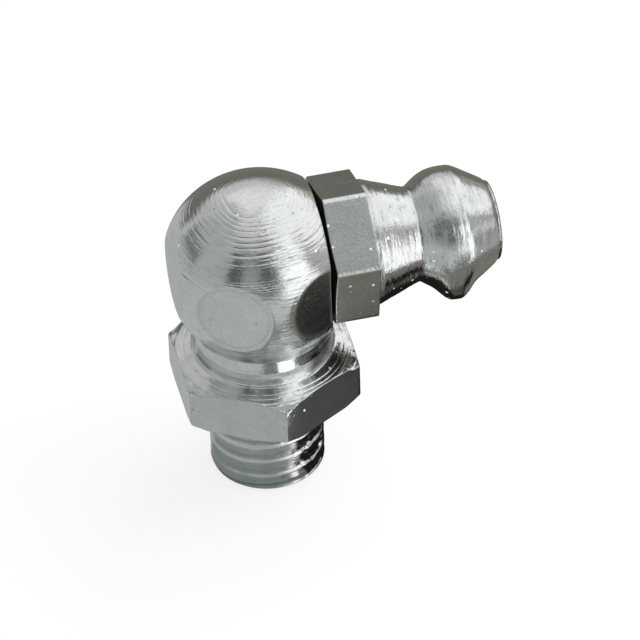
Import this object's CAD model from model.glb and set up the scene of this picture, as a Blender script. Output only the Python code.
from math import cos, hypot, pi, radians, sin, sqrt, tan

import bpy
import numpy as np
from mathutils import Matrix, Vector


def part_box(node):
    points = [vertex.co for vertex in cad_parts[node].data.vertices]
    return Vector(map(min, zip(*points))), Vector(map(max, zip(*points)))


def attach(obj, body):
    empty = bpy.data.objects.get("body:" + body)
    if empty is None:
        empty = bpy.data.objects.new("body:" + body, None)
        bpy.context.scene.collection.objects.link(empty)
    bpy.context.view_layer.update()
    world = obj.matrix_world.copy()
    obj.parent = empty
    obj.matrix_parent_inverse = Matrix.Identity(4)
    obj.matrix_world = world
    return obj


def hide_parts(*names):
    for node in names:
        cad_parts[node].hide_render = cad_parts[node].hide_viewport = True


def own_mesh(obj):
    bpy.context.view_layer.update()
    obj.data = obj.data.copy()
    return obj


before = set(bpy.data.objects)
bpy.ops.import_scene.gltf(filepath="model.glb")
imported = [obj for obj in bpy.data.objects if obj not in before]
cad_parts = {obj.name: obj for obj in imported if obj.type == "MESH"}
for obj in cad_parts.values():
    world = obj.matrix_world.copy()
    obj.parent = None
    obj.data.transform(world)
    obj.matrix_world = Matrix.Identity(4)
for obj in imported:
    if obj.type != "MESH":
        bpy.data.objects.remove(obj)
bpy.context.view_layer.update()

# Shapes are worked out in millimetres, in the frame of the CAD, and go into meshes in metres.
MM = 0.001
sharp_angle = radians(50)  # faces that meet at more than this keep a sharp edge

# The turned body: the sizes of the CAD solid that it replaces, fitted more closely to the photo
body_flat = 4.5  # axis to a flat of the hexagon bar
body_corner = body_flat / cos(radians(30))
stud_radius, stud_length, stud_chamfer = 3.0, 5.1, 0.25
hexagon_height, seat_radius, seat_chamfer_angle, shoulder_angle = 2.3, 4.75, 30.0, 19.0
neck_radius, neck_fillet = 3.65, 0.12
ball_radius, ball_height = 4.98, 8.25  # where the ball is widest
ball_above, ball_below = 4.6, 5.46  # half heights of its upper and lower parts
ball_neck_fillet = 0.12
waist_height, waist_blend = 3.5, 0.5  # above this the bar's flats are those on the ball
ball_flat_spare = 0.06  # the bar's flats lie this much farther out on the ball's sides
flat_rounding, ball_flat_rounding = 0.02, 0.06  # edges of the flats, and what the ball's have on top
spot_face_x, spot_face_radius = 2.9, 4.4
socket_radius, socket_floor_x = 2.3, 0.9
passage_radius, passage_top, drill_point = 1.25, 9.2, 118.0
nipple_height = 8.2
thread_pitch, thread_depth = 1.0, 0.11
thread_all_round, thread_right = 0.42, 0.58  # shares of the depth: all round, and added on the right

# The nipple head, along X
head_flat, head_turn, head_flat_rounding = 3.4, 11.0, 0.17
collar_back, collar_front, collar_chamfer_angle = 3.15, 5.5, 8.0
cone_radius, cone_drop, cone_length = 3.35, 0.92, 2.55  # from the collar's front to the bulb
head_neck_x, head_neck_radius, head_neck_fillet = 8.05, 2.43, 0.14  # where the cone and the bulb meet
bulb_radius, bulb_back_x, bulb_front_x, bulb_swell, bulb_rounding = 3.25, 9.88, 10.38, 0.2, 0.07
bulb_rise_x, bulb_land_x = 9, 10  # on the bulb's back, and on the straight stretch at its edge
tip_x, tip_radius, tip_rounding = 12.3, 2.05, 0.12
spigot_end, spigot_face_radius, spigot_rounding, spring_foot = 1.1, 2.0, 0.3, 1.45
inlet_radius, inlet_land, bore_radius = 0.85, 0.32, 1.5

# The check valve
check_ball_x, check_ball_radius = float(sum(v.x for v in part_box("check_ball"))) / 2 / MM, 1.25
check_ball_clearance, check_ball_travel = 0.02, 1.2
wire_radius, spring_radius, spring_turns = 0.15, 1.2, 6


# ---------------- signed distances

def both(a, b, rounding):
    """Intersection of two solids, given as signed distances, with its edge rounded."""
    inside = np.minimum(np.maximum(a, b), -rounding)
    return inside + np.hypot(np.maximum(a + rounding, 0), np.maximum(b + rounding, 0))


def either(a, b, rounding):
    """Union of two solids with the corner between them filleted."""
    outside = np.maximum(np.minimum(a, b), rounding)
    return outside - np.hypot(np.maximum(rounding - a, 0), np.maximum(rounding - b, 0))


def smooth(t):
    return t * t * (3 - 2 * t)


def rise(value, start, width):
    """0 up to the start, then rising to 1 over the width."""
    return np.clip((value - start) / width, 0, 1)


def fall(value, end, width):
    """0 from the end on, and 1 until the width before it."""
    return np.clip((end - value) / width, 0, 1)


def corner(gap, size):
    """How far rounding moves the corner between two curves, where they lie the given gap apart."""
    gap = np.abs(gap)
    return np.where(gap < 2 * size, (2 * size - gap) ** 2 / (8 * size), 0)


def marks(seed, span, pitch, depth):
    """Depth of the tool's marks along a line, as smooth steps between seeded values."""
    values = np.random.default_rng(seed).random(int(span / pitch) + 3) ** 1.5 * depth

    def at(s):
        k = np.clip(s / pitch, 0, len(values) - 2)
        i = k.astype(int)
        t = smooth(k - i)
        return values[i] * (1 - t) + values[i + 1] * t

    return at


def wander(seed, amount):
    """A slow seeded ripple round the turning axis, so that a mark is nowhere a perfect ring."""
    rng = np.random.default_rng(seed)
    phases, weights = rng.random(5) * 2 * pi, rng.random(5) * amount

    def at(angle):
        return sum(w * np.sin((k + 1) * angle + p) for k, (w, p) in enumerate(zip(weights, phases)))

    return at


def grooves(s, start, end, pitch, width, depth):
    """Deeper round grooves between two places along a line, at about the given pitch."""
    fade = rise(s, start, pitch) * fall(s, end, pitch)
    s = s + pitch * (0.25 * np.sin(2.1 * s + 0.7) + 0.15 * np.sin(5.3 * s))
    off = np.abs((s / pitch) % 1 - 0.5) * pitch
    return depth * fade * np.clip(1 - off / width, 0, 1) ** 2


def facing(angle, towards, spread):
    """1 on the side that faces a direction, in degrees, falling smoothly to 0.15 on the far side."""
    off = (np.degrees(angle) - towards + 180) % 360 - 180
    return 0.15 + 0.85 * np.exp(-(off / spread) ** 2)


def dents(seed, count, angles, heights, size, depth):
    """Small seeded bruises on the stud's thread, as extra depth by angle and height."""
    rng = np.random.default_rng(seed)
    spots = [(rng.uniform(*angles), rng.uniform(*heights), rng.uniform(0.5, 1) * size,
              rng.uniform(-0.5, 1) * depth) for _ in range(count)]
    margin, stretch = 0.3, 1.6  # reach past the angles, and the dents' width over their height

    def at(angle, z):
        total = np.zeros(np.shape(z))
        close = (z < 0) & (angle > angles[0] - margin) & (angle < angles[1] + margin)
        angle, z, found = angle[close], z[close], 0
        for a, h, wide, deep in spots:
            across = (angle - a) * stud_radius / wide / stretch
            found = found + deep * np.exp(-(across ** 2 + ((z - h) / wide) ** 2))
        total[close] = found
        return total

    return at


ball_marks, ball_wander = marks(3, 16, 0.14, 0.007), wander(4, 0.05)
neck_marks, shoulder_marks = marks(5, 4, 0.11, 0.02), marks(6, 4, 0.15, 0.010)
cone_marks, bulb_marks = marks(7, 4, 0.12, 0.016), marks(8, 4, 0.16, 0.010)
shoulder_edge = marks(21, 34, 0.30, 0.18)
bruises = dents(31, 90, (radians(-95), radians(8)), (-5.0, -0.7), 0.17, 0.10)

# Deeper grooves: the side that they face and its spread, then start, end, pitch, width and depth.
# The ball's are placed by the arc length from its top, the shoulder's by how far out they lie.
ball_grooves = (
    (-108, 62, 1.6, 4.8, 0.33, 0.085, 0.026),
    (-108, 62, 5.4, 6.1, 0.15, 0.05, 0.026),
    (-80, 16, 3.8, 4.9, 0.19, 0.06, 0.05),
)
shoulder_groove = (-62, 50, 0.9, 2.3, 0.25, 0.06, 0.024)
scratch_from, scratch_to = radians(-166), radians(-130)
scratch_arc_length, scratch_width, scratch_depth = 6.28, 0.06, 0.03


def cut_grooves(angle, s, towards, spread, *row):
    return facing(angle, towards, spread) * grooves(s, *row)


def hexagon_distance(x, y, flat, turn, rounding, spare=0):
    """Signed distance to a hexagonal bar whose flats' normals start at the given angle. The first pair
    lies at the given distance, the others may lie a little farther out."""
    inside = None
    for k in range(3):
        a = radians(turn + 60 * k)
        d = np.abs(x * cos(a) + y * sin(a)) - flat - (spare if k else 0)
        inside = d if inside is None else both(inside, d, rounding)
    return inside


def on_ball(z):
    """0 at the body's hexagon, 1 at its ball."""
    return rise(z, waist_height, waist_blend)


def bar_distance(x, y, z, rounding):
    """The bar that the body is turned from."""
    return hexagon_distance(x, y, body_flat, 0, rounding, ball_flat_spare * on_ball(z))


def ball_distance(r, angle, z):
    """The ball with fine rings, deeper grooves and a scratch on its left."""
    arc_length = np.arctan2(r, z - ball_height) * ball_radius + ball_wander(angle)
    depth = ball_marks(arc_length) * np.clip(arc_length - 1, 0.2, 1) * facing(angle, -55, 70)
    scratch = rise(angle, scratch_from, 0.15) * fall(angle, scratch_to, 0.12)
    off = np.abs(arc_length - scratch_arc_length)
    depth = depth + scratch_depth * scratch * np.clip(1 - off / scratch_width, 0, 1)
    for row in ball_grooves:
        depth = depth + cut_grooves(angle, arc_length, *row)
    half = np.where(z > ball_height, ball_above, ball_below)
    return np.hypot(r, (z - ball_height) * ball_radius / half) - ball_radius + depth


def block_distance(r, angle, z):
    """What is turned at the hexagon: its seat, chamfer and shoulder, whose outer edge is ragged."""
    chamfer, drop = radians(seat_chamfer_angle), radians(shoulder_angle)
    under = both(-z, (r - seat_radius) * sin(chamfer) - z * cos(chamfer), 0.02)
    top = (z - hexagon_height - (body_corner - r) * tan(drop)) * cos(drop)
    out = r - stud_radius + ball_wander(angle) * 0.3
    top = top + shoulder_marks(out) + cut_grooves(angle, out, *shoulder_groove)
    top = top + shoulder_edge((angle + pi) * 5) * rise(r, 4.5, 0.5) ** 2
    return both(under, top, 0.05)


def stud_distance(r, angle, z):
    """The stud with its thread, which is plainest and bruised on the side under the nipple head."""
    turn = z - thread_pitch * angle / (2 * pi)
    fade = rise(-z, 0.15, 0.5) * np.clip((z + stud_length + 0.1) / 0.35, 0.3, 1)
    crest = np.abs((turn / thread_pitch) % 1 - 0.5) * 2  # 1 in the middle of a crest, 0 in the root
    groove = thread_depth * (1 - smooth(rise(crest, 0.12, 0.5)))
    plain = thread_all_round + thread_right * facing(angle, -45, 60)
    stud = r - stud_radius + groove * fade * plain + np.clip(bruises(angle, z), 0, 1)
    end = both(-stud_length - z, (r - stud_radius - z - stud_length + stud_chamfer) * sqrt(0.5), 0.03)
    return np.maximum(both(stud, end, 0.03), z - 0.5)


def body_distance(x, y, z):
    r, angle = np.hypot(x, y), np.arctan2(y, x)
    neck = r - neck_radius + neck_marks(z - 2.5) * facing(angle, -55, 38)
    neck = np.maximum(neck, np.maximum(1 - z, z - ball_height))
    turned = either(ball_distance(r, angle, z), neck, ball_neck_fillet)
    turned = either(turned, block_distance(r, angle, z), neck_fillet)
    solid = both(turned, bar_distance(x, y, z, 0.008), flat_rounding + ball_flat_rounding * on_ball(z))
    milled = np.maximum(np.hypot(y, z - nipple_height) - spot_face_radius, spot_face_x - x)
    solid = both(solid, -milled, 0.05)
    return either(solid, stud_distance(r, angle, z), 0.03)


def head_radius(x):
    """The turned head's outline in front of the collar, radius over X."""
    behind = 3  # the cone goes on into the collar
    r = np.interp(x, [collar_front - behind, collar_front, head_neck_x],
                  [cone_radius + behind * cone_drop / cone_length, cone_radius, head_neck_radius])
    # the bulb's back is the circle through the neck's corner and the bulb's edge that the CAD has
    run, climb = bulb_back_x - head_neck_x, bulb_radius - head_neck_radius
    chord = hypot(run, climb)
    radius = (chord ** 2 / 4 + bulb_swell ** 2) / (2 * bulb_swell)
    away = (radius - bulb_swell) / chord
    centre_x = (head_neck_x + bulb_back_x) / 2 + climb * away
    centre_r = (head_neck_radius + bulb_radius) / 2 - run * away
    back = centre_r + np.sqrt(np.maximum(radius ** 2 - (x - centre_x) ** 2, 0.01))
    join = np.maximum(r, back) + corner(r - back, head_neck_fillet) * (x < bulb_rise_x)
    join = np.where(x > bulb_rise_x, back, join)
    top = np.minimum(join, bulb_radius) - corner(join - bulb_radius, bulb_rounding) * (x > bulb_rise_x)
    front = bulb_radius - (x - bulb_front_x) * (bulb_radius - tip_radius) / (tip_x - bulb_front_x)
    return np.minimum(top, front) - corner(top - front, bulb_rounding) * (x > bulb_land_x)


def head_distance(x, y, z):
    h = z - nipple_height
    r = np.hypot(y, h)
    rings = cone_marks(np.clip(x - 5.4, 0, 3.9)) * rise(x, 5.8, 0.3) * (x < 8)
    rings = rings + bulb_marks(np.clip(x - 7.9, 0, 3.9)) * (x >= 8)
    turned = (r - head_radius(x) + rings) * 0.85
    turned = np.maximum(turned, collar_front - 1 - x)
    slope = radians(collar_chamfer_angle)
    chamfer = (collar_back + (r - head_flat) * tan(slope) - x) * cos(slope)
    bar = hexagon_distance(y, h, head_flat, 60 + head_turn, head_flat_rounding)
    collar = both(both(bar, np.maximum(collar_back - x, chamfer), 0.04), x - collar_front, 0.05)
    return either(turned, collar, 0.05)


burr_height, burr_back_x, burr_front_x, burr_slope = 0.50, 8.55, 10.85, 0.95
burr_angle, burr_spread = radians(42), 0.5  # round the head, from straight down towards the front


def burr(x, y, z):
    """The smooth lump under the bulb's edge in the photo, as extra radius."""
    angle = np.arctan2(-y, -(z - nipple_height)) - burr_angle
    along = smooth(rise(x, burr_back_x, burr_slope) * fall(x, burr_front_x, burr_slope))
    return burr_height * along * np.exp(-(angle / burr_spread) ** 2)


# ---------------- meshes

def solve(distance, origin, ray, start, reach_in, reach_out, steps=48, halvings=16):
    """Outermost point of a solid on each ray, near the ray's length `start`."""
    def at(t):
        p = origin + ray * t[:, None]
        return distance(p[:, 0], p[:, 1], p[:, 2])

    hit = np.full(len(start), np.nan)
    previous = start + reach_out
    for k in range(1, steps + 1):
        now = start + reach_out - (reach_out + reach_in) * k / steps
        now = np.maximum(now, 1e-4)
        inside = (at(now) <= 0) & np.isnan(hit)
        hit = np.where(inside, now, hit)
        previous = np.where(np.isnan(hit), now, previous)
    low, high = np.where(np.isnan(hit), start, hit), np.where(np.isnan(hit), start, previous)
    for _ in range(halvings):
        middle = (low + high) / 2
        inside = at(middle) <= 0
        low, high = np.where(inside, middle, low), np.where(inside, high, middle)
    return (low + high) / 2


class Shell:
    """A closed surface round an axis, in rows of vertices, split finer where it bends sharply.

    Each station is (core, radius, height, exact): a ray starts on the axis at `core` and passes the
    point (radius, height). Where exact is 1 the vertex is that point, otherwise it is where the ray
    leaves the solid. A vertex keeps its turn, as cosine and sine, and its row among the stations.
    """

    close_reach = (0.5, 0.25)  # how far in and out a new vertex is looked for

    def __init__(self, stations, columns, distance, along_x=False, reach=(2.7, 0.45), closed=False):
        self.stations = np.array(stations, float)
        self.distance, self.along_x, self.reach = distance, along_x, reach
        rows = len(self.stations)
        turns, row_of, index = [], [], np.zeros((rows, columns), int)
        for i in range(rows):
            on_axis = self.stations[i, 1] == 0
            for j in range(1 if on_axis else columns):
                a = 2 * pi * (j + 0.5 * (i % 2)) / columns
                turns.append([0, 0] if on_axis else [cos(a), sin(a)])
                index[i, j:] = len(row_of)
                row_of.append(i)
        faces = []
        for i in range(rows if closed else rows - 1):
            low, high = index[i], index[(i + 1) % rows]
            for j in range(columns):
                a, b = low[j], low[(j + 1) % columns]
                d, e = high[j], high[(j + 1) % columns]
                faces += [(a, b, d), (b, e, d)] if i % 2 == 0 else [(a, b, e), (a, e, d)]
        f = np.array(faces)
        self.faces = f[(f[:, 0] != f[:, 1]) & (f[:, 1] != f[:, 2]) & (f[:, 0] != f[:, 2])]
        self.turns, self.rows = np.array(turns, float), np.array(row_of, float)
        self.points = self.place(self.turns, self.rows, None)

    def place(self, turns, rows, near):
        """The points at the given turns and rows, looked for near some that are given."""
        count = len(self.stations)
        low = np.floor(rows).astype(int) % count
        high = (low + (rows % 1 > 0)) % count
        t = (rows % 1)[:, None]
        core, radius, height = (self.stations[low] * (1 - t) + self.stations[high] * t)[:, :3].T
        exact = (self.stations[low, 3] == 1) & (self.stations[high, 3] == 1)
        length = np.hypot(radius, height - core)
        across, up = radius / length, (height - core) / length
        if self.along_x:  # the ring's first direction is Y, its second Z
            origin = np.stack([core, core * 0, core * 0 + nipple_height], 1)
            ray = np.stack([up, across * turns[:, 0], across * turns[:, 1]], 1)
        else:
            origin = np.stack([core * 0, core * 0, core], 1)
            ray = np.stack([across * turns[:, 0], across * turns[:, 1], up], 1)
        found = length.copy()
        todo = ~exact
        if todo.any():
            start, reach = length[todo], self.reach
            if near is not None:
                start, reach = np.linalg.norm(near - origin, axis=1)[todo], self.close_reach
            found[todo] = solve(self.distance, origin[todo], ray[todo], start, *reach)
        return origin + ray * found[:, None]

    def refine(self, tolerance, smallest, levels, limit):
        """Splits each edge whose middle lies off the surface, level by level."""
        stride = 4_000_000  # more than any mesh's vertices, to number the edges by both their ends
        done = np.zeros(0, np.int64)
        for _ in range(levels):
            f = self.faces
            sides = np.sort(np.concatenate([f[:, [0, 1]], f[:, [1, 2]], f[:, [2, 0]]]), 1)
            keys = sides[:, 0].astype(np.int64) * stride + sides[:, 1]
            keys, where = np.unique(keys, return_inverse=True)
            a, b = keys // stride, keys % stride
            fresh = ~np.isin(keys, done)
            fresh &= np.linalg.norm(self.points[a] - self.points[b], axis=1) > smallest
            fresh &= np.abs(self.rows[a] - self.rows[b]) < 2
            a, b = a[fresh], b[fresh]
            turns = self.turns[a] + self.turns[b]
            turns = turns / np.maximum(np.linalg.norm(turns, axis=1), 1e-9)[:, None]
            rows = (self.rows[a] + self.rows[b]) / 2
            flat = (self.points[a] + self.points[b]) / 2
            points = self.place(turns, rows, flat)
            bent = np.linalg.norm(points - flat, axis=1) > tolerance
            done = np.concatenate([done, keys[fresh][~bent]])
            middle = np.full(len(keys), -1)
            cut = np.flatnonzero(fresh)[bent]
            middle[cut] = len(self.points) + np.arange(len(cut))
            self.turns = np.concatenate([self.turns, turns[bent]])
            self.rows = np.concatenate([self.rows, rows[bent]])
            self.points = np.concatenate([self.points, points[bent]])
            self.faces = self.split(f, *middle[where].reshape(3, -1))
            if len(self.faces) > limit or not len(cut):
                break

    def split(self, f, *middles):
        """The faces, cut at the new vertices on their sides, where -1 stands for none."""
        count = sum((m >= 0).astype(int) for m in middles)
        out = [f[count == 0]]
        for turn in range(3):  # rotate so that one template serves all three corners
            i, j, k = (f[:, (turn + n) % 3] for n in range(3))
            a, b = middles[turn], middles[(turn + 1) % 3]
            one = (count == 1) & (a >= 0)
            out += [np.stack([i, a, k], 1)[one], np.stack([a, j, k], 1)[one]]
            two = (count == 2) & (a >= 0) & (b >= 0)
            out.append(np.stack([a, j, b], 1)[two])
            first = np.linalg.norm(self.points[i] - self.points[b], axis=1)
            second = np.linalg.norm(self.points[a] - self.points[k], axis=1)
            short, long = two & (first <= second), two & (first > second)
            out += [np.stack([i, a, b], 1)[short], np.stack([i, b, k], 1)[short]]
            out += [np.stack([i, a, k], 1)[long], np.stack([a, b, k], 1)[long]]
        three = count == 3
        i, j, k = f[three].T
        a, b, c = (m[three] for m in middles)
        out += [np.stack(t, 1) for t in ((i, a, c), (a, j, b), (c, b, k), (a, b, c))]
        return np.concatenate(out)


def add_object(name, data):
    """A new object with the given data, in the scene."""
    piece = bpy.data.objects.new(name, data)
    bpy.context.scene.collection.objects.link(piece)
    return piece


def mesh_object(name, points, faces):
    """A smooth piece from points in millimetres, with sharp edges where its faces meet steeply."""
    mesh = bpy.data.meshes.new(name)
    mesh.from_pydata((points * MM).tolist(), [], faces.tolist())
    mesh.polygons.foreach_set("use_smooth", [True] * len(mesh.polygons))
    mesh.update()
    mesh.set_sharp_from_angle(angle=sharp_angle)
    return add_object(name, mesh)


def line(points, spacing, exact=0):
    """Stations along a chain of (core, radius, height) points, at about the given spacing."""
    out = []
    for a, b in zip(points, points[1:]):
        count = max(1, round(hypot(b[1] - a[1], b[2] - a[2]) / spacing))
        for k in range(count):
            out.append(tuple(a[i] + (b[i] - a[i]) * k / count for i in range(3)) + (exact,))
    return out


def arc(centre, radius, start, end, spacing, core):
    """Stations along an arc in the (radius, height) plane. Angles are degrees from the height axis."""
    count = max(2, round(abs(radians(end - start)) * radius / spacing))
    angles = [radians(start + (end - start) * k / count) for k in range(count)]
    return [(core, centre[0] + radius * sin(a), centre[1] + radius * cos(a), 0) for a in angles]


def build_body():
    """The body, from the passage's point down its wall, over stud and hexagon to the ball's top."""
    lean = neck_radius / ball_radius  # sine of the ball's angle where it meets the neck
    junction = ball_height - ball_below * sqrt(1 - lean ** 2)
    end, wall = -stud_length, passage_radius
    point = passage_top + passage_radius / tan(radians(drill_point / 2))
    core = end + 1.5
    corners = 5.2  # just outside the hexagon's corners
    stations = [(core, 0, point, 1)]
    for row in (  # points, spacing, and 1 where the points are exact
        ([(core, 0.05, point), (core, wall - 0.02, passage_top + 0.01)], 0.3, 1),  # the drill's point
        ([(core, wall, passage_top), (core, wall, end + 0.04)], 0.8, 1),  # the passage
        ([(core, wall + 0.01, end + 0.02), (core, wall + 0.06, end)], 0.03, 1),
        ([(core, wall + 0.08, end), (end + 1.2, 2.7, end)], 0.25),  # the stud's end
        ([(end + 1.2, 2.7, end), (end + 0.3, stud_radius, end + 0.3)], 0.05),
        ([(end + 0.3, stud_radius, end + 0.3), (-0.15, stud_radius, -0.15)], 0.055),  # the thread
        ([(-0.15, stud_radius, -0.15), (1.0, 3.06, 0.0)], 0.05),
        ([(1.0, 3.06, 0), (1.2, seat_radius, 0)], 0.14),  # the seat
        ([(1.2, seat_radius, 0), (1.2, corners, 0.26)], 0.05),
        ([(1.2, corners, 0.26), (1.3, corners, 2.25)], 0.1),  # the hexagon
        ([(1.3, corners, 2.25), (1.4, 3.95, 2.75)], 0.05),  # the shoulder
        ([(1.4, 3.95, 2.75), (2.2, neck_radius, 3.05), (7.0, neck_radius, junction)], 0.055),  # neck
    ):
        stations += line(*row)
    first = 180 - np.degrees(np.arcsin(lean))
    stations += arc((0, ball_height), ball_radius, first, 0.8, 0.06, ball_height)
    stations.append((ball_height, 0, ball_height + ball_above, 0))
    shell = Shell(stations, 128, body_distance)
    shell.refine(tolerance=0.0015, smallest=0.03, levels=4, limit=150_000)
    return shell


def build_head():
    """The head as a ring, from the spigot's end over the outside to the tip, and back by the bore."""
    core = 4.3

    def inner(points):
        return line([(core, r, x) for x, r in points], 0.3, 1)

    edge = spigot_end + spigot_rounding
    corners = 3.93  # at the hexagon's corners
    tip_inner, tip_edge = tip_x - inlet_land, tip_x - tip_rounding
    stations = inner([(spigot_end, 1.0), (spigot_end, 1.95)])
    for a in (0, 22, 45, 68):  # the spigot's rolled edge
        outward, forward = spigot_rounding * sin(radians(a)), spigot_rounding * cos(radians(a))
        stations.append((core, spigot_face_radius + outward, edge - forward, 1))
    stations += line([(core, socket_radius, edge), (core, socket_radius, collar_back - 0.02)], 0.3, 1)
    stations += line([(core, 2.31, collar_back), (core, head_flat, collar_back),
                      (core, corners, collar_back + 0.19)], 0.08)
    stations += line([(core, corners, collar_back + 0.19), (4.4, corners, collar_front)], 0.09)
    stations += line([(4.4, corners, collar_front), (4.6, 3.36, collar_front)], 0.05)
    stations += line([(4.6, 3.36, collar_front), (7.0, 2.8, 7.0), (8.0, 2.5, 8.0),
                      (10.6, bulb_radius, 10.6), (11.0, 2.15, tip_edge)], 0.055)
    for a in (20, 45, 70):  # the tip's edge
        outward, forward = 0.15 * cos(radians(a)), tip_rounding * sin(radians(a))
        stations.append((11.0, tip_radius - tip_rounding + outward, tip_edge + forward, 1))
    stations += inner([(tip_x, tip_radius - 0.14), (tip_x, inlet_radius + 0.06)])
    stations += inner([(tip_x, inlet_radius + 0.05), (tip_x - 0.05, inlet_radius),
                       (tip_inner, inlet_radius)])
    seat_back = tip_inner - (bore_radius - inlet_radius)  # the valve seat is a 90 degree cone
    stations += inner([(tip_inner, inlet_radius), (seat_back, bore_radius), (spring_foot, bore_radius),
                       (spring_foot, inlet_radius), (spigot_end, inlet_radius), (spigot_end, 1.0)])
    shell = Shell(stations, 112, head_distance, along_x=True, reach=(0.9, 0.3), closed=True)
    shell.refine(tolerance=0.0012, smallest=0.03, levels=4, limit=175_000)
    return shell


def raise_burr(shell):
    """Moves the head's outside out by the burr's height."""
    x, y, z = shell.points.T
    outward = np.stack([x * 0, y, z - nipple_height], 1)
    size = np.linalg.norm(outward, axis=1)
    outside = size > 2.2  # the bore lies well within this radius
    shell.points = shell.points + outward / size[:, None] * (burr(x, y, z) * outside)[:, None]


body_shell = build_body()
head_shell = build_head()
raise_burr(head_shell)
body = mesh_object("elbow_body_turned", body_shell.points, body_shell.faces)
head = mesh_object("nipple_head_turned", head_shell.points, head_shell.faces)


# ---------------- check ball and spring

def sphere(name, centre, radius, rings, segments):
    """A ball whose poles lie along X."""
    x0, y0, z0 = centre
    points, faces = [(x0 - radius, y0, z0)], []
    for i in range(1, rings):
        a = pi * i / rings
        for j in range(segments):
            b = 2 * pi * j / segments
            across = radius * sin(a)
            points.append((x0 - radius * cos(a), y0 + across * cos(b), z0 + across * sin(b)))
    points.append((x0 + radius, y0, z0))
    last = len(points) - 1
    for j in range(segments):
        k = (j + 1) % segments
        faces.append((0, 1 + k, 1 + j))
        for i in range(rings - 2):
            a, b = 1 + i * segments, 1 + (i + 1) * segments
            faces += [(a + j, a + k, b + k), (a + j, b + k, b + j)]
        a = 1 + (rings - 2) * segments
        faces.append((a + j, a + k, last))
    return mesh_object(name, np.array(points), np.array(faces))


def coil(name, steps=40, sides=12, closed_turns=0.275):
    """The spring and its length, from its foot to the back of the ball, with its ends closed."""
    mean = spring_radius - wire_radius
    ball_back = check_ball_x - sqrt(check_ball_radius ** 2 - (spring_radius - 2 * wire_radius) ** 2)
    length = ball_back - check_ball_clearance - spring_foot
    low, high = spring_foot + wire_radius, spring_foot + length - wire_radius
    total = int((spring_turns + 2 * closed_turns) * steps)
    points, faces = [], []
    for i in range(total + 1):
        t = i / steps - closed_turns
        a = 2 * pi * t
        # the wire's centre stays inside the spring's length
        x = min(max(spring_foot + length / spring_turns * t, low), high)
        centre = np.array([x, mean * cos(a), nipple_height + mean * sin(a)])
        out, along = np.array([0, cos(a), sin(a)]), np.array([1.0, 0, 0])
        for j in range(sides):
            b = 2 * pi * j / sides
            points.append(centre + wire_radius * (cos(b) * out + sin(b) * along))
    for i in range(total):
        for j in range(sides):
            k = (j + 1) % sides
            a, b = i * sides, (i + 1) * sides
            faces += [(a + j, b + j, b + k), (a + j, b + k, a + k)]
    for start, order in ((0, 1), (total * sides, -1)):
        ring = [start + j for j in range(sides)][::order]
        faces += [(ring[0], ring[j], ring[j + 1]) for j in range(1, sides - 1)]
    return mesh_object(name, np.array(points), np.array(faces)), length


ball = sphere("check_ball_polished", (check_ball_x, 0, nipple_height), check_ball_radius, 48, 72)
spring, spring_length = coil("check_spring_coil")

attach(body, "housing")
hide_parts("elbow_body")
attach(head, "housing")
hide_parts("nipple_head")
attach(ball, "valve_ball")
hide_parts("check_ball")
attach(spring, "housing")
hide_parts("check_spring")
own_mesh(spring)


# ---------------- materials

# The zinc plate: plain, and what lies over it
turned_plain, turned_blotch = (0.84, 0.86, 0.86, 1), (0.66, 0.68, 0.67, 1)
turned_dash, turned_line = (0.30, 0.34, 0.35, 1), (0.45, 0.48, 0.49, 1)
drawn_plain, drawn_blotch = (0.74, 0.77, 0.76, 1), (0.62, 0.65, 0.64, 1)
drawn_grain = (0.50, 0.53, 0.52, 1)
pore_colour, stain_colour = (0.22, 0.23, 0.23, 1), (0.04, 0.05, 0.05, 1)
speck_colour = (0.95, 0.96, 0.96, 1)
speck_rarity = {"x": 0.6, "z": 0.96}  # on the head and on the body
grime_dark, grime_pale = (0.03, 0.03, 0.028, 1), (0.10, 0.10, 0.09, 1)


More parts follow.
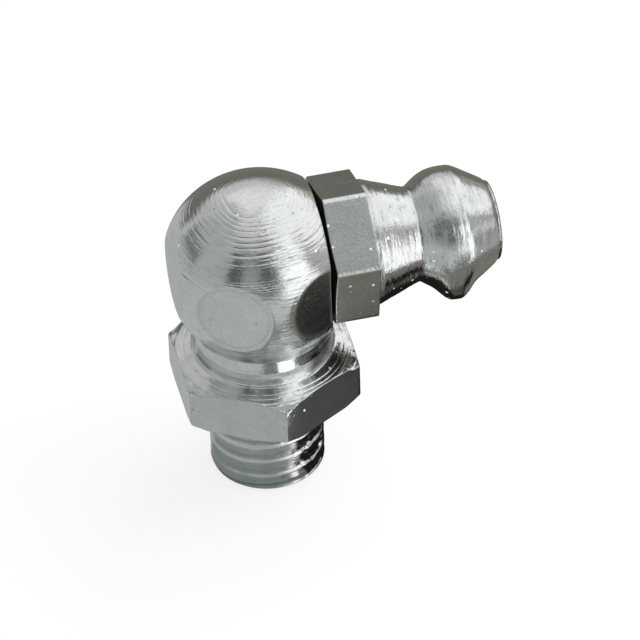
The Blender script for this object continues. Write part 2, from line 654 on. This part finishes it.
class Nodes:
    """The nodes of a material or the world, with short calls that add some and return an output."""

    def __init__(self, owner, shader="Principled BSDF"):
        owner.use_nodes = True
        self.owner, self.tree = owner, owner.node_tree
        self.shader = self.tree.nodes[shader]

    def add(self, kind):
        return self.tree.nodes.new("ShaderNode" + kind)

    def feed(self, socket, value):
        """Gives a socket another node's output, or a constant."""
        if hasattr(value, "is_output"):
            self.tree.links.new(value, socket)
        else:
            socket.default_value = value

    def fill(self, node, values):
        """Feeds a node's sockets by their names."""
        for name, value in values.items():
            self.feed(node.inputs[name], value)
        return node

    def shade(self, values):
        self.fill(self.shader, values)

    def made(self, kind, values, **settings):
        """The first output of a new node, whose first sockets take the values."""
        n = self.add(kind)
        for name, setting in settings.items():
            setattr(n, name, setting)
        for socket, value in zip(n.inputs, values):
            self.feed(socket, value)
        return n.outputs[0]

    def show(self, surface):
        """Shows another shader in place of the first one."""
        self.tree.nodes.remove(self.shader)
        self.feed(self.tree.nodes["Material Output"].inputs["Surface"], surface)

    def math(self, operation, *values):
        return self.made("Math", values, operation=operation)

    def plus(self, a, b):
        return self.math("ADD", a, b)

    def times(self, a, b):
        return self.math("MULTIPLY", a, b)

    def length(self, a, b):
        return self.math("SQRT", self.plus(self.times(a, a), self.times(b, b)))

    def position(self):
        """The place in the object's own frame in millimetres: the vector and its three parts."""
        place, parts = self.add("TexCoord").outputs["Object"], self.add("SeparateXYZ")
        self.feed(parts.inputs[0], place)
        return self.scale(place, 1 / MM), [self.math("DIVIDE", p, MM) for p in parts.outputs]

    def vector(self, *values):
        return self.made("CombineXYZ", values)

    def noise(self, vector, scale, detail=2.0, rough=0.5):
        values = {"Vector": vector, "Scale": scale, "Detail": detail, "Roughness": rough}
        return self.fill(self.add("TexNoise"), values).outputs["Fac"]

    def scale(self, vector, factor):
        n = self.add("VectorMath")
        n.operation = "SCALE"
        return self.fill(n, {"Vector": vector, "Scale": factor}).outputs[0]

    def shift(self, vector, value, amount):
        """The vector moved by the value times the amount along X and Z, and as far back along Y."""
        values = (self.vector(value, value, value), (amount, -amount, amount), vector)
        return self.made("VectorMath", values, operation="MULTIPLY_ADD")

    def ramp(self, value, low, high, to_low=0.0, to_high=1.0):
        """A smooth step from to_low, at low, to to_high, at high."""
        values = (value, low, high, to_low, to_high)
        return self.made("MapRange", values, interpolation_type="SMOOTHSTEP")

    def blend(self, share, a, b):
        """Colour a where share is 0 and b where it is 1."""
        n = self.add("Mix")
        n.data_type = "RGBA"
        for k, value in ((0, share), (6, a), (7, b)):
            self.feed(n.inputs[k], value)
        return n.outputs[2]

    def bump(self, height, distance, normal=None):
        """The normal over a height map, whose distance is in millimetres."""
        n = self.fill(self.add("Bump"), {"Strength": 1, "Distance": distance * MM, "Height": height})
        if normal is not None:
            self.feed(n.inputs["Normal"], normal)
        return n.outputs[0]

    def dots(self, vector, scale, core, edge, rare):
        """Round dots in some cells of a Voronoi pattern: 1 in a dot, 0 outside it."""
        n = self.fill(self.add("TexVoronoi"), {"Vector": vector, "Scale": scale})
        chosen = self.math("GREATER_THAN", self.made("SeparateColor", [n.outputs["Color"]]), rare)
        return self.times(self.ramp(n.outputs["Distance"], core, edge, 1, 0), chosen)


def new_material(name):
    return Nodes(bpy.data.materials.new(name))


def turned_lines(n, axis, x, y, z):
    """The way along a turned piece's outline, and the angle round its axis."""
    if axis == "z":
        r = n.length(x, y)
        polar = n.times(n.math("ARCTAN2", r, n.math("SUBTRACT", z, ball_height)), ball_radius)
        under_ball = n.ramp(z, 3.3, 3.7, 1, 0)
        return n.plus(polar, n.times(under_ball, n.plus(r, z))), n.math("ARCTAN2", y, x)
    h = n.math("SUBTRACT", z, nipple_height)
    return n.plus(x, n.times(n.length(h, y), 0.3)), n.math("ARCTAN2", h, y)


def zinc(name, axis, drawn=False):
    """Bright zinc plate over steel: turned, with the tool's marks round the given axis, or drawn, as
    the bar's flats are."""
    n = new_material(name)
    mm, (x, y, z) = n.position()
    along, around = turned_lines(n, axis, x, y, z)
    track = n.vector(along, n.times(around, 0.35), 0.0)
    dash = n.vector(along, n.times(around, 1.1), 3.0)
    fine = n.noise(track, 9.0, 3.0, 0.65)
    broken = n.noise(dash, 5.5, 2.0, 0.6)
    broad = n.noise(track, 2.2, 1.0)
    blotch = n.noise(mm, 0.9, 4.0, 0.6)
    grain = n.noise(mm, 8.0, 3.0, 0.65)
    frayed = n.shift(mm, grain, 0.25)
    specks = n.dots(frayed, 1.7, 0.07, 0.17, speck_rarity[axis])
    pores = n.dots(frayed, 1.9, 0.06, 0.15, 0.8)
    # the body's marks are plainer in front and towards the nipple head, and faint behind it
    side = n.ramp(n.math("SUBTRACT", x, y), -1.5, 4.5, 0.12, 0.48) if axis == "z" else 0.45
    if drawn:
        colour = n.blend(n.times(n.ramp(blotch, 0.3, 0.7), 0.6), drawn_plain, drawn_blotch)
        colour = n.blend(n.times(n.ramp(grain, 0.35, 0.65), 0.35), colour, drawn_grain)
    else:
        colour = n.blend(n.times(n.ramp(blotch, 0.35, 0.7), 0.3), turned_plain, turned_blotch)
        colour = n.blend(n.times(n.ramp(broken, 0.56, 0.70), side), colour, turned_dash)
        colour = n.blend(n.times(n.ramp(fine, 0.45, 0.75), 0.45), colour, turned_line)
    colour = n.blend(n.times(pores, 0.6), colour, pore_colour)
    base_roughness, grain_depth = (0.10, 0.009) if drawn else (0.03, 0.006)
    rough = n.plus(n.times(broad, 0.07), n.times(grain, 0.07))
    if axis == "z":
        # dirt in the corner under the ball, next to the head
        low = n.times(n.ramp(z, 4.9, 4.4), n.ramp(z, 2.8, 3.2))
        stain = n.times(low, n.ramp(n.plus(x, blotch), 1.9, 2.7))
        colour = n.blend(n.times(stain, 0.8), colour, stain_colour)
        # the stud's rear left is duller
        dull = n.times(n.ramp(z, 0, -0.4), n.ramp(n.plus(x, n.times(blotch, 1.5)), 1.9, 0.9))
        rough = n.plus(rough, n.times(dull, 0.3))
    normal = n.bump(grain, grain_depth)
    if not drawn:
        normal = n.bump(n.times(n.plus(fine, broken), n.times(side, 2.2)), 0.015, normal)
        tangent = n.add("Tangent")
        tangent.direction_type, tangent.axis = "RADIAL", axis.upper()
        n.shade({"Anisotropic": 0.3, "Tangent": tangent.outputs[0]})
    n.shade({
        "Base Color": n.blend(specks, colour, speck_colour),
        "Metallic": n.math("SUBTRACT", 1.0, specks),
        "Roughness": n.plus(rough, base_roughness),
        "Normal": n.bump(n.math("SUBTRACT", specks, pores), 0.012, normal),
    })
    return n.owner


def steel(name, colour, roughness, marks_scale, marks_depth):
    """Plain bright steel with fine marks, for the ball and the spring inside the head."""
    n = new_material(name)
    mm, _ = n.position()
    grain = n.noise(mm, marks_scale, 3.0)
    darker = [c * 0.8 for c in colour]
    n.shade({
        "Base Color": n.blend(n.ramp(grain, 0.3, 0.7), (*colour, 1), (*darker, 1)),
        "Metallic": 1,
        "Roughness": n.plus(n.times(grain, 0.12), roughness),
        "Normal": n.bump(grain, marks_depth),
    })
    return n.owner


def grime(name):
    """What has settled in the narrow gap between the body and the head's collar."""
    n = new_material(name)
    mm, _ = n.position()
    shade = n.noise(mm, 3.0, 3.0)
    n.shade({
        "Base Color": n.blend(shade, grime_dark, grime_pale),
        "Metallic": 0.5,
        "Roughness": 0.7,
        "Normal": n.bump(shade, 0.02),
    })
    return n.owner


def on_surface(distance, width):
    """1 on a surface, falling to 0 at the given depth below it."""
    return np.clip(1 + distance / width, 0, 1)


gap_grime = grime("gap_grime")


def paint(piece, shell, axis, drawn, hidden):
    """The turned material, the drawn one on the bar's flats, and grime in the gap."""
    piece.data.materials.append(zinc(piece.name + "_turned", axis))
    piece.data.materials.append(zinc(piece.name + "_drawn", axis, drawn=True))
    piece.data.materials.append(gap_grime)
    kind = np.where(drawn[shell.faces].mean(1) > 0.5, 1, 0)
    kind = np.where(hidden[shell.faces].mean(1) > 0.5, 2, kind)
    piece.data.polygons.foreach_set("material_index", kind.astype(np.int32))


def paint_body():
    x, y, z = body_shell.points.T
    on_bar = on_surface(bar_distance(x, y, z, 0.0), 0.03) * (z > 0.02)
    on_spot = on_surface(x - spot_face_x, 0.02) * (z > 3.7) * (np.hypot(y, z - nipple_height) < 4.3)
    paint(body, body_shell, "z", on_bar, on_spot)


def paint_head():
    x, y, z = head_shell.points.T
    on_bar = on_surface(hexagon_distance(y, z - nipple_height, head_flat, 60 + head_turn, 0.0), 0.03)
    on_bar = on_bar * (x > collar_back - 0.01) * (x < collar_front + 0.01)
    paint(head, head_shell, "x", on_bar, 1.0 * (x < collar_back + 0.01))


paint_body()
paint_head()
ball.data.materials.append(steel("ball_bearing_steel", (0.62, 0.62, 0.63), 0.08, 6.0, 0.001))
spring.data.materials.append(steel("spring_wire_steel", (0.46, 0.45, 0.44), 0.25, 20.0, 0.004))


# ---------------- socket in the body, behind the collar

def bore_socket(piece, segments=96, overrun=0.5):
    """Cuts the round socket that the nipple head is pressed into."""
    points, faces = [], []
    for x in (socket_floor_x, spot_face_x + overrun):
        for j in range(segments):
            a = 2 * pi * j / segments
            points.append((x, socket_radius * cos(a), nipple_height + socket_radius * sin(a)))
    for j in range(segments):
        k = (j + 1) % segments
        faces.append((k, segments + k, segments + j, j))
    faces += [tuple(range(segments - 1, -1, -1)), tuple(range(segments, 2 * segments))]
    mesh = bpy.data.meshes.new("socket_tool")
    mesh.from_pydata([[c * MM for c in p] for p in points], [], faces)
    tool = add_object("socket_tool", mesh)
    cut = piece.modifiers.new("socket", "BOOLEAN")
    cut.operation, cut.solver, cut.object = "DIFFERENCE", "MANIFOLD", tool
    depsgraph = bpy.context.evaluated_depsgraph_get()
    bored = bpy.data.meshes.new_from_object(piece.evaluated_get(depsgraph))
    piece.modifiers.clear()
    bpy.data.objects.remove(tool)
    bored.name = piece.name
    bored.set_sharp_from_angle(angle=sharp_angle)
    piece.data = bored


bore_socket(body)


# ---------------- camera

# Fitted to the photo's outlines
camera_distance, elevation, azimuth, roll = 250 * MM, radians(40.96), radians(-12.70), radians(-1.87)
focal_pixels, photo_pixels, sensor_width = 4853.9, 640, 36
middle = (3, 0, 5)  # of the object, in millimetres
aim_right, aim_down = 0.048, 1.123  # from the object's middle

scene = bpy.context.scene
back = Vector((sin(azimuth) * cos(elevation), -cos(azimuth) * cos(elevation), sin(elevation)))
right = Vector((0, 0, 1)).cross(back).normalized()
up = back.cross(right)
aim = Vector(middle) * MM + right * aim_right * MM - up * aim_down * MM
right, up = cos(roll) * right + sin(roll) * up, cos(roll) * up - sin(roll) * right
camera = add_object("camera", bpy.data.cameras.new("camera"))
turned = Matrix((right, up, back)).transposed().to_4x4()
camera.matrix_world = Matrix.Translation(aim + back * camera_distance) @ turned
camera.data.sensor_width = sensor_width
camera.data.lens = focal_pixels * sensor_width / photo_pixels
camera.data.clip_start, camera.data.clip_end = 0.01, 10
scene.camera = camera


# ---------------- floor and light

floor_half, floor_grey, floor_glow = 2, 0.86, 0.8
world_light, white = 0.75, 1.0  # on the object, and where the background is seen
key_azimuth, key_elevation, key_distance = radians(15), radians(48), 0.7
key_width, key_height, key_power = 0.9, 0.4, 5.0


def seeing_rays(n):
    """1 for the rays that see the background: the camera's, glossy and transmission rays."""
    path = n.add("LightPath").outputs
    rays = n.math("MAXIMUM", path["Is Camera Ray"], path["Is Glossy Ray"])
    return n.math("MAXIMUM", rays, path["Is Transmission Ray"])


def floor_material():
    n = new_material("floor")
    diffuse, glow, mix = n.add("BsdfDiffuse"), n.add("Emission"), n.add("MixShader")
    n.feed(diffuse.inputs["Color"], (floor_grey, floor_grey, floor_grey, 1))
    n.feed(mix.inputs["Fac"], n.times(seeing_rays(n), floor_glow))
    n.feed(mix.inputs[1], diffuse.outputs[0])
    n.feed(mix.inputs[2], glow.outputs[0])
    n.show(mix.outputs[0])
    return n.owner


def card_material(name, colour):
    n = new_material(name)
    n.show(n.fill(n.add("Emission"), {"Color": (*colour, 1)}).outputs[0])
    return n.owner


def staged(name, points, faces, material):
    """A piece of the stage, from points in metres."""
    mesh = bpy.data.meshes.new(name)
    mesh.from_pydata(points, [], faces)
    mesh.materials.append(material)
    piece = add_object(name, mesh)
    return piece


brown, green, plain = (1.0, 0.96, 0.84), (0.96, 1.0, 0.99), (1.0, 1.0, 1.0)
deep_green, pale_green = (0.88, 1.0, 0.98), (0.90, 1.0, 1.0)


def card(name, points, faces, level, tint=plain):
    """A glowing card that shows in reflections only: camera, shadows and the floor's light pass it."""
    piece = staged(name, points, faces, card_material(name, [level * c for c in tint]))
    piece.visible_camera = piece.visible_diffuse = piece.visible_shadow = False
    piece.visible_volume_scatter = piece.visible_transmission = False


def dome_card(name, azimuths, elevations, level, away, tint=plain, step=6):
    """A curved card that covers a range of directions round the object, in degrees."""
    (start, end), (low, high) = azimuths, elevations
    columns, rows = max(2, int((end - start) / step)), max(2, int((high - low) / step))
    points, faces = [], []
    for i in range(rows + 1):
        e = radians(low + (high - low) * i / rows)
        for j in range(columns + 1):
            a = radians(start + (end - start) * j / columns)
            x, y, z = away * cos(a) * cos(e), away * sin(a) * cos(e), away * sin(e)
            points.append((x + middle[0] * MM, y + middle[1] * MM, z + middle[2] * MM))
    for i in range(rows):
        for j in range(columns):
            k = i * (columns + 1) + j
            faces.append((k, k + 1, k + columns + 2, k + columns + 1))
    card(name, points, faces, level, tint)


def floor_card(name, corners, level, lift, tint=plain):
    """A card lying on the floor, given by its corners in millimetres. Higher ones hide lower ones."""
    height = (lift - stud_length) * MM
    points = [(x * MM, y * MM, height) for x, y in corners]
    card(name, points, [tuple(range(len(corners)))], level, tint)


def standing_card(name, start, end, low, high, level):
    """An upright card between two places, given in millimetres."""
    corners = [(*start, low), (*end, low), (*end, high), (*start, high)]
    card(name, [[c * MM for c in corner] for corner in corners], [(0, 1, 2, 3)], level)


corners = [(a * floor_half, b * floor_half, 0) for a, b in ((1, 1), (-1, 1), (-1, -1), (1, -1))]
floor = staged("floor", corners, [(0, 1, 2, 3)], floor_material())
floor.location = (0, 0, -stud_length * MM)

# name, azimuths, elevations, level, distance, tint: nearer ones hide farther ones
for row in (
    ("dome_left", (100, 215), (-3, 89), 0.42, 0.60, green),
    ("dome_left_dark", (138, 172), (8, 25), 0.20, 0.58, green),
    ("dome_front_left", (205, 300), (-3, 89), 0.36, 0.60, green),
    ("dome_top", (98, 302), (68, 89.9), 0.62, 0.585),
    ("dome_top_front", (190, 302), (56, 69), 0.45, 0.59),
    ("dome_front_dark", (214, 277), (3, 54), 0.31, 0.58, green),
    ("dome_arch", (216, 275), (45, 54), 0.19, 0.57, green),
    ("dome_smudge", (216, 234), (14, 44), 0.11, 0.56, green),
    ("dome_smudge_right", (257, 276), (10, 47), 0.12, 0.56, green),
    ("dome_right_gap", (-40, -6), (-3, 46), 0.42, 0.60),
    ("dome_right_low", (-6, 75), (-3, 14), 0.38, 0.60, brown),
    ("dome_tip", (-30, -2), (-4, 6), 0.72, 0.58),
    ("dome_right_low_back", (38, 75), (-3, 24), 0.36, 0.59, brown),
    ("dome_back", (58, 108), (-3, 89), 0.60, 0.59),
    ("dome_back_left", (108, 135), (-3, 89), 0.51, 0.59),
    ("dome_back_high", (50, 108), (34, 70), 0.82, 0.55),
    ("dome_back_low", (52, 128), (-4, 17), 0.165, 0.57, brown),
    ("softbox_right", (-5, 40), (13, 78), 1.0, 0.50),
    ("softbox_right_front", (-18, -5), (25, 78), 1.0, 0.50),
    ("softbox_right_back", (40, 58), (20, 78), 1.05, 0.50),
    ("softbox_front", (-76, -39), (8, 37), 1.2, 0.50),
    ("softbox_core", (-53, -42), (18, 31), 1.5, 0.49),
    ("softbox_high", (-46, -18), (46, 74), 0.95, 0.50),
    ("softbox_strip", (-76, -34), (-3, 8), 1.2, 0.50),
):
    dome_card(*row)

far = 600  # where the cards that run on over the floor end
# name, corners, level, height over the floor, tint
for row in (
    ("floor_left", [(-1.2, -3.5), (-1.2, -far), (-far, -far), (-far, far), (-1.2, far), (-1.2, 3)],
     0.48, 0.010, green),
    ("floor_facet", [(-10, -12.2), (-10.5, -20), (-17, -20), (-16.5, -12.2)], 0.59, 0.013, green),
    ("floor_front", [(0.6, -3), (2.0, -14), (30, -60), (60, -far), (-80, -far), (-3.2, -14),
                     (-1.5, -3)], 0.22, 0.012, deep_green),
    ("floor_back", [(-1.2, 3), (-1.5, 12), (-12, 60), (-300, far), (far, far), (far, 12), (4, 3)],
     0.18, 0.014, brown),
    ("floor_right", [(0.6, -3), (2, -14), (30, -60), (far, -300), (far, 12), (4, 12), (3, 2)],
     0.20, 0.016, brown),
    ("floor_dim", [(8.6, -8.4), (11.5, -11), (16, -24), (28, -22), (24, -6), (15, 2), (14, 14)],
     0.19, 0.017, brown),
    ("floor_dark", [(8.6, -8.4), (12, -10.0), (14.2, -10.2), (14.2, -5), (10.5, -5.5)],
     0.06, 0.020, brown),
    ("floor_facet_dark", [(12.8, -11.4), (20.0, -11.8), (21.5, -5.8), (13.8, -5.0)], 0.008, 0.024),
    ("floor_black", [(1.9, -2.6), (2.9, -4.2), (4.6, -7), (8.6, -8.4), (10.5, -5.5), (14.2, -5.0),
                     (14.2, 14), (5, 14), (2.6, 3), (2.7, 0)], 0.012, 0.018, brown),
    ("floor_front_far", [(-1, -18.5), (7, -18.5), (30, -60), (60, -far), (-60, -far), (-10, -60)],
     0.54, 0.0125, green),
    ("floor_tip", [(31, -14), (38, -22), (200, -100), (200, 20), (31, 2)], 0.36, 0.0165),
    ("floor_under", [(3.1 * cos(k * pi / 12), 3.1 * sin(k * pi / 12)) for k in range(24)],
     0.04, 0.030),
    ("floor_near", [(-2.8, 1.2), (-6.5, 2.0), (-6.2, -3.5), (-2.5, -7.2), (1.0, -6.2), (0.6, -2.9),
                    (-1.5, -2.5)], 0.215, 0.0175, pale_green),
    ("floor_hexagon", [(4.6, -4.8), (5.2, -7.4), (10.5, -7.4), (13.5, -4.0), (12, -3.4)],
     0.085, 0.027),
    ("floor_white_far", [(21.8, -26.3), (30.7, -17.4), (515, -320), (325, -511)], 1.2, 0.022),
    ("floor_stud", [(1.0, -3.3), (1.5, -3.15), (2.1, -4.3), (1.4, -4.6)], 1.15, 0.028),
    ("floor_bulb", [(14.2, -5.0), (16.0, -3.5), (18.5, 14.0), (14.2, 14.0)], 0.13, 0.0185, brown),
    ("floor_neck", [(2.2, -4.9), (3.4, -4.9), (3.7, -6.6), (2.5, -6.6)], 1.2, 0.031),
    ("ball_shade", [(-0.8, -4.9), (2.2, -4.9), (2.7, -6.5), (-0.8, -6.5)],
     0.42, stud_length + 3.7, green),
):
    floor_card(*row)

standing_card("neck_white", (0.9, -7.95), (3.75, -6.85), -1.7, 1.9, 1.5)

lamp = bpy.data.lights.new("key", "AREA")
lamp.shape = "RECTANGLE"
lamp.size, lamp.size_y, lamp.energy = key_width, key_height, key_power
key = add_object("key", lamp)
towards = Vector((cos(key_azimuth) * cos(key_elevation), sin(key_azimuth) * cos(key_elevation),
                  sin(key_elevation)))
key.location = towards * key_distance
key.rotation_mode = "QUATERNION"
key.rotation_quaternion = towards.to_track_quat("Z", "Y")
key.visible_glossy = False

scene.world = bpy.data.worlds.new("world")
sky = Nodes(scene.world, "Background")
strength = sky.add("MapRange")
sky.feed(strength.inputs["To Min"], world_light)
sky.feed(strength.inputs["To Max"], white)
sky.feed(strength.inputs["Value"], seeing_rays(sky))
sky.shade({"Strength": strength.outputs[0], "Color": (1, 1, 1, 1)})

scene.view_settings.view_transform = "Standard"
